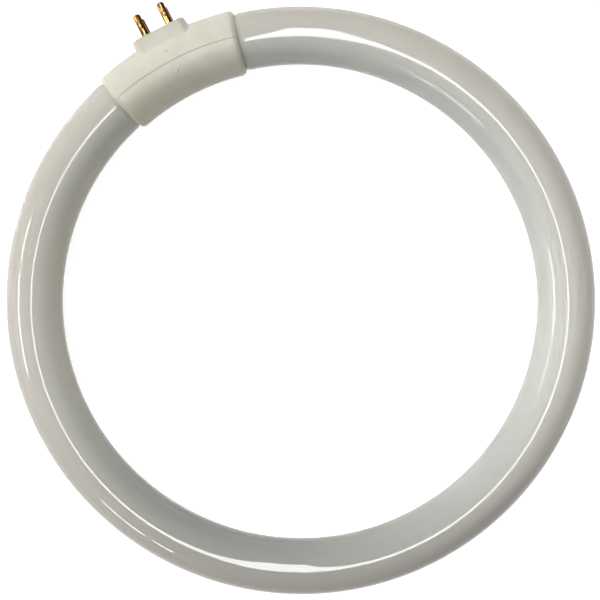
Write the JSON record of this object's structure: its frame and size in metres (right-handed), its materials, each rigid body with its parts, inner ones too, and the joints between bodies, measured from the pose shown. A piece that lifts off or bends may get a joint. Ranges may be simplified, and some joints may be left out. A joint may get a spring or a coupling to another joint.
{
  "type": "circular fluorescent tube",
  "caption": "Ring-shaped milky glass fluorescent tube with a white plastic cap and brass contact pins that point outwards.",
  "frame": {"origin": "middle of the four contact pins, on the flat seating face of the cap's pin block", "axes": "+Y out of the seating face along the pins, +Z along the ring's axis, +X along the ring at the cap"},
  "size_m": [0.18, 0.1897, 0.0194],
  "materials": {
    "milky_glass": "glossy milky glass, coated white inside",
    "cap_plastic": "moulded, satin gloss, warm white",
    "pin_brass": "bright turned brass",
    "wire_nickel": "drawn nickel-plated wire"
  },
  "bodies": {
    "root": {"glass_tube": "milky_glass", "cap_outer_half": "cap_plastic", "cap_inner_half": "cap_plastic", "contact_pin_1": "pin_brass", "contact_pin_2": "pin_brass", "contact_pin_3": "pin_brass", "contact_pin_4": "pin_brass", "lead_wire_1": "wire_nickel", "lead_wire_2": "wire_nickel", "lead_wire_3": "wire_nickel", "lead_wire_4": "wire_nickel"}
  },
  "joints": []
}
